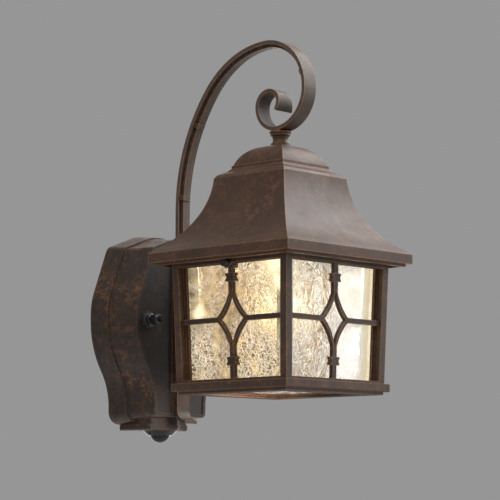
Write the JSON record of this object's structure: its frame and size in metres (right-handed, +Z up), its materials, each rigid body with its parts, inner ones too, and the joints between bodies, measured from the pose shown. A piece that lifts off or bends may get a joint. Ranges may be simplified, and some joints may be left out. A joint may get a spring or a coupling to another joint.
{
  "type": "outdoor wall lantern",
  "caption": "Square bell-roofed lantern with latticed glass panes, hung from a scrolled flat-bar arm on a shaped hollow backplate with a swivelling sensor under it.",
  "frame": {"origin": "centre of the two wall-box screw slots on the wall plane", "axes": "+Z up, +X across the wall, the lantern stands out from the wall towards -Y"},
  "size_m": [0.172, 0.266, 0.3703],
  "materials": {
    "rust_paint": "satin",
    "zinc_steel": "satin",
    "black_paint": "satin",
    "black_rubber": "matte",
    "white_plastic": "matte",
    "black_plastic": "matte",
    "gloss_black": "gloss",
    "porcelain": "gloss",
    "brass": "polished",
    "seeded_glass": "wavy",
    "lamp_globe": "frosted"
  },
  "bodies": {
    "bracket": {"wall_gasket": "black_rubber", "mounting_plate": "zinc_steel", "mounting_studs": "zinc_steel", "backplate": "rust_paint", "cap_nuts": "black_paint", "cap_nut_washers": "zinc_steel", "cable_grommet": "black_rubber", "terminal_block": "white_plastic", "terminal_screws": "zinc_steel", "control_module": "black_plastic", "arm": "rust_paint", "arm_bolts": "zinc_steel", "wire_cover": "rust_paint", "cover_clips": "rust_paint", "lantern_lead": "black_plastic", "nipple": "zinc_steel", "nipple_nuts": "zinc_steel", "neck_disc": "rust_paint", "neck": "rust_paint", "roof": "rust_paint", "hanger_strap": "zinc_steel", "lamp_holder": "porcelain", "holder_shell": "brass", "sensor_base": "rust_paint"},
    "cage": {"cage_frame": "rust_paint", "lattice_front": "rust_paint", "lattice_left": "rust_paint", "lattice_right": "rust_paint", "glass_front": "seeded_glass", "glass_left": "seeded_glass", "glass_right": "seeded_glass", "back_panel": "rust_paint", "bottom_glass": "seeded_glass", "glass_keepers": "zinc_steel", "keeper_screws": "zinc_steel"},
    "left_thumbscrew": {"thumbscrew_left": "black_paint", "screw_washer_left": "zinc_steel"},
    "right_thumbscrew": {"thumbscrew_right": "black_paint", "screw_washer_right": "zinc_steel"},
    "bulb": {"bulb_cap": "brass", "bulb_housing": "white_plastic", "bulb_globe": "lamp_globe"},
    "sensor_swivel": {"swivel_ring": "rust_paint", "swivel_nut": "zinc_steel"},
    "sensor_head": {"sensor_ball": "gloss_black", "sensor_lens": "gloss_black"}
  },
  "joints": [
    {"name": "cage_drop", "type": "slide", "parent": "bracket", "child": "cage", "axis": [0, 0, -1], "range_m": [0, 0.15]},
    {"name": "left_thumbscrew_turn", "type": "hinge", "parent": "bracket", "child": "left_thumbscrew", "pos_m": [-0.0712, -0.18, 0.0476], "axis": [-1, 0, 0], "continuous": true},
    {"name": "right_thumbscrew_turn", "type": "hinge", "parent": "bracket", "child": "right_thumbscrew", "pos_m": [0.0712, -0.18, 0.0476], "axis": [1, 0, 0], "continuous": true},
    {"name": "bulb_turn", "type": "hinge", "parent": "bracket", "child": "bulb", "pos_m": [0, -0.18, 0.046], "axis": [0, 0, 1], "continuous": true},
    {"name": "sensor_pan", "type": "hinge", "parent": "bracket", "child": "sensor_swivel", "pos_m": [0, -0.024, -0.09715], "axis": [0, 0, 1], "range_deg": [-90, 90]},
    {"name": "sensor_tilt", "type": "hinge", "parent": "sensor_swivel", "child": "sensor_head", "pos_m": [0, -0.024, -0.0993], "axis": [1, 0, 0], "range_deg": [-15, 15]}
  ]
}
